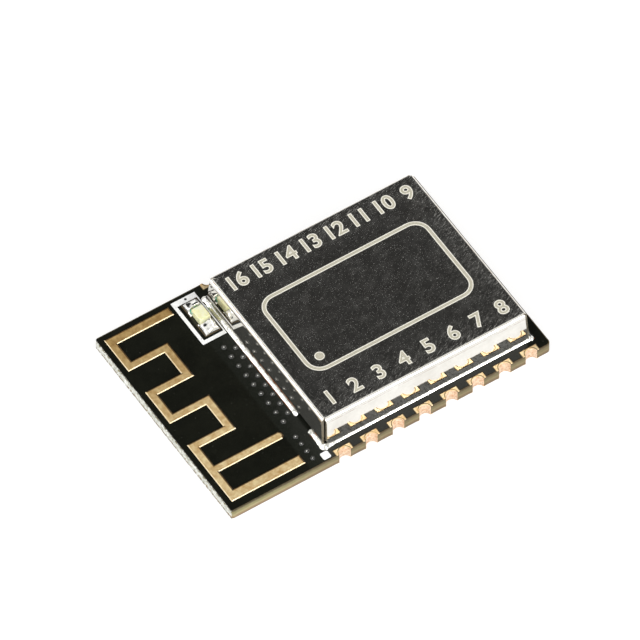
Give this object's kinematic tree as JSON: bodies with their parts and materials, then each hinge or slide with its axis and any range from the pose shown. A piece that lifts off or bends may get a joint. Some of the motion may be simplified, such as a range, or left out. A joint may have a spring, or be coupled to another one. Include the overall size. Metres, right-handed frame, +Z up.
{
  "type": "wifi module",
  "caption": "Castellated radio module: black circuit board with meander antenna, folded shield can, status LED and half-hole edge pads.",
  "frame": {"origin": "centre of the underside, on the plane of the lower pad lands", "axes": "+X along the board, away from the antenna; -Y the long edge with pads 1 to 8; +Z up, out of the shield can's lid"},
  "size_m": [0.024, 0.016, 0.0033],
  "materials": {
    "fr4_laminate": "bare glass-epoxy, routed and broken edges",
    "copper": "masked copper",
    "gold_plate": "immersion gold over copper, matt",
    "pad_gold": "immersion gold over copper, satin",
    "black_mask": "semi-gloss black solder mask",
    "legend_ink": "printed white ink",
    "can_metal": "bright tinned sheet, finely brushed",
    "solder": "bright solder",
    "led_base": "green resin base",
    "led_lens": "pale cast resin",
    "tin_plate": "matt tin",
    "chip_mould": "black moulding compound",
    "ceramic": "fired ceramic",
    "crystal_metal": "plated lid and pads",
    "capacitor_ceramic": "tan ceramic",
    "inductor_ceramic": "blue-grey ceramic"
  },
  "bodies": {
    "root": {"board_laminate": "fr4_laminate", "ground_pour_top": "copper", "ground_pour_bottom": "copper", "stitching_vias": "copper", "antenna_trace": "gold_plate", "component_lands": "gold_plate", "pad_01": "pad_gold", "pad_02": "pad_gold", "pad_03": "pad_gold", "pad_04": "pad_gold", "pad_05": "pad_gold", "pad_06": "pad_gold", "pad_07": "pad_gold", "pad_08": "pad_gold", "pad_09": "pad_gold", "pad_10": "pad_gold", "pad_11": "pad_gold", "pad_12": "pad_gold", "pad_13": "pad_gold", "pad_14": "pad_gold", "pad_15": "pad_gold", "pad_16": "pad_gold", "solder_mask_top": "black_mask", "solder_mask_bottom": "black_mask", "legend_ink": "legend_ink", "shield_can": "can_metal", "shield_solder": "solder", "led_solder": "solder", "led_base": "led_base", "led_lens": "led_lens", "led_terminals": "tin_plate", "soc_lead_frame": "tin_plate", "flash_leads": "tin_plate", "capacitor_caps": "tin_plate", "resistor_caps": "tin_plate", "inductor_caps": "tin_plate", "soc_body": "chip_mould", "flash_body": "chip_mould", "resistor_bodies": "chip_mould", "crystal_base": "ceramic", "crystal_lid": "crystal_metal", "crystal_pads": "crystal_metal", "capacitor_bodies": "capacitor_ceramic", "inductor_bodies": "inductor_ceramic"}
  },
  "joints": []
}
